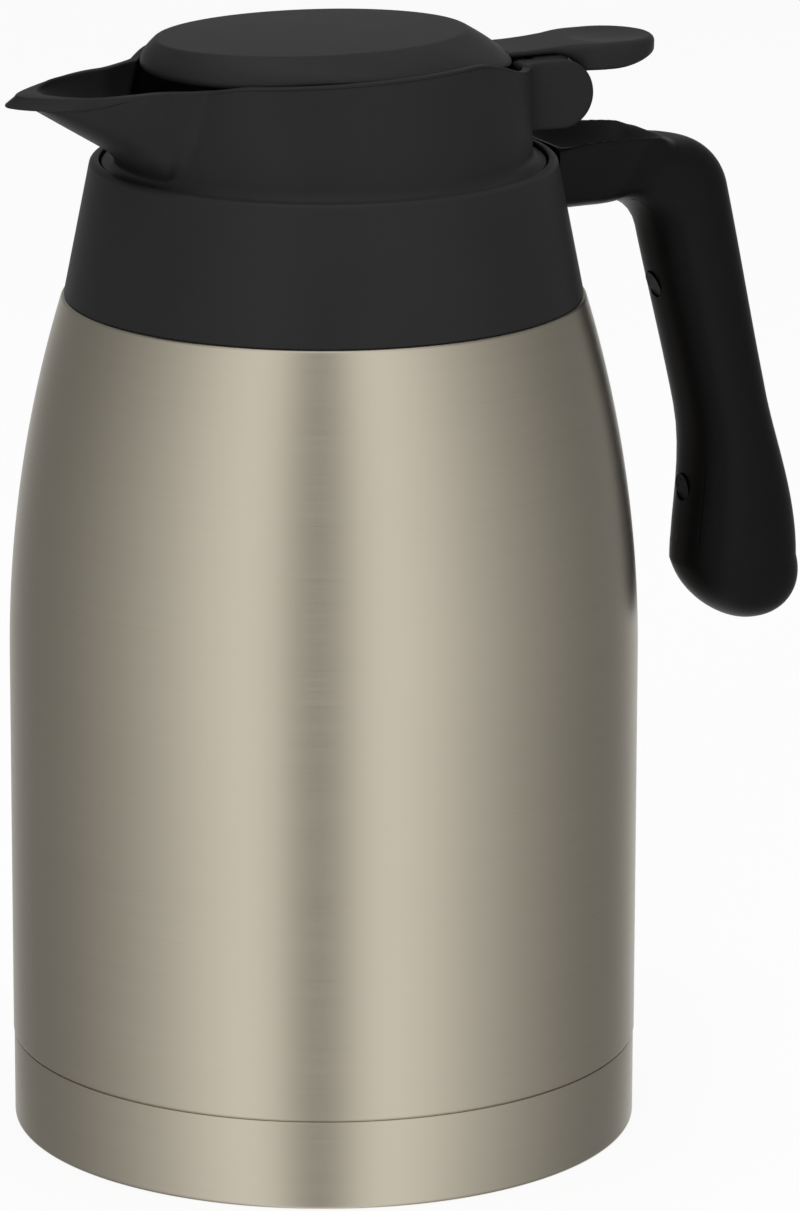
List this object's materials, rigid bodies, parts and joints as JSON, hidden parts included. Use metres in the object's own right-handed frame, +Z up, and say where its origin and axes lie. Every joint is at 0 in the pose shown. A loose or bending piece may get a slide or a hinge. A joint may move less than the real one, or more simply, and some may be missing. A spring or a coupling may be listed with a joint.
{
  "type": "thermal carafe",
  "caption": "Double-walled steel thermal carafe with a black collar, open-ended handle and a screw-in pouring stopper with spout and thumb-lever flip lid.",
  "frame": {"origin": "centre of the foot, on the table", "axes": "+Z up; +X toward the handle and -X toward the spout; +Y to the right-hand side seen from the spout"},
  "size_m": [0.18, 0.1302, 0.2305],
  "materials": {
    "outer_shell": "fine brushing round the body, satin champagne-grey",
    "base_shell": "fine brushing round the band, satin champagne-grey",
    "inner_vessel": "electropolished stainless inside",
    "vacuum_foil": "bright copper foil",
    "getter": "matt grey",
    "vent_seal": "satin",
    "neck_seal": "matt translucent silicone",
    "neck_ring": "fine matt moulding",
    "collar": "fine satin moulding, black",
    "handle_shell": "fine satin moulding, black",
    "handle_cover": "fine satin moulding, black",
    "screw_upper": "plain steel",
    "screw_lower": "plain steel",
    "stopper_body": "fine satin moulding, black",
    "stopper_plug": "fine matt moulding",
    "stopper_gasket": "matt silicone",
    "hinge_pin": "ground steel",
    "hinge_spring": "drawn spring wire",
    "lid_cover": "fine satin moulding, black",
    "lid_liner": "fine matt moulding",
    "lid_puck": "rigid foam",
    "lid_seal": "matt silicone"
  },
  "bodies": {
    "vessel": {"outer_shell": "outer_shell", "base_shell": "base_shell", "inner_vessel": "inner_vessel", "vacuum_foil": "vacuum_foil", "getter": "getter", "vent_seal": "vent_seal", "neck_seal": "neck_seal", "neck_ring": "neck_ring", "collar": "collar", "handle_shell": "handle_shell", "handle_cover": "handle_cover", "screw_upper": "screw_upper", "screw_lower": "screw_lower"},
    "stopper_seal": {"stopper_gasket": "stopper_gasket"},
    "stopper": {"stopper_body": "stopper_body", "stopper_plug": "stopper_plug", "hinge_pin": "hinge_pin", "hinge_spring": "hinge_spring"},
    "lid": {"lid_cover": "lid_cover", "lid_liner": "lid_liner", "lid_puck": "lid_puck", "lid_seal": "lid_seal"}
  },
  "joints": [
    {"name": "stopper_lift", "type": "slide", "parent": "vessel", "child": "stopper_seal", "axis": [0, 0, 1], "range_m": [0, 0.01]},
    {"name": "stopper_turn", "type": "hinge", "parent": "stopper_seal", "child": "stopper", "pos_m": [0, 0, 0.198], "axis": [0, 0, 1], "range_deg": [0, 360]},
    {"name": "lid_hinge", "type": "hinge", "parent": "stopper", "child": "lid", "pos_m": [0.048, 0, 0.2153], "axis": [0, 1, 0], "range_deg": [0, 44], "stiffness_Nm_per_rad": 0.08, "springref_deg": -20.05, "deforming": ["hinge_spring"]}
  ],
  "couplings": [
    {"joint": "stopper_lift", "follows": "stopper_turn", "m_per_rad": 0.0015915}
  ]
}
